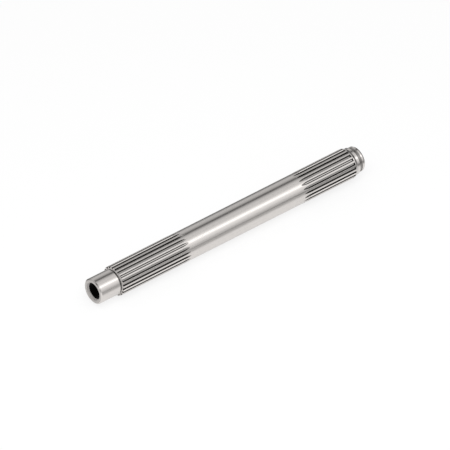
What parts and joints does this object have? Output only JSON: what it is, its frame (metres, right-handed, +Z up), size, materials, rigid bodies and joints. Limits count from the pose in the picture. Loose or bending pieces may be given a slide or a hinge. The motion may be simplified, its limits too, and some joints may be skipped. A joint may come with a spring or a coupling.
{
  "type": "drum shaft",
  "caption": "Hollow steel drum shaft with an involute spline at each end of a plain middle, a journal and a grooved tail.",
  "frame": {"origin": "on the surface that the shaft rests on, below the middle of its length", "axes": "+X along the shaft from the journal end to the tail end, +Z up, away from the surface"},
  "size_m": [0.4728, 0.044, 0.0439],
  "materials": {
    "turned_steel": "satin"
  },
  "bodies": {
    "root": {"drum_shaft": "turned_steel"}
  },
  "joints": []
}
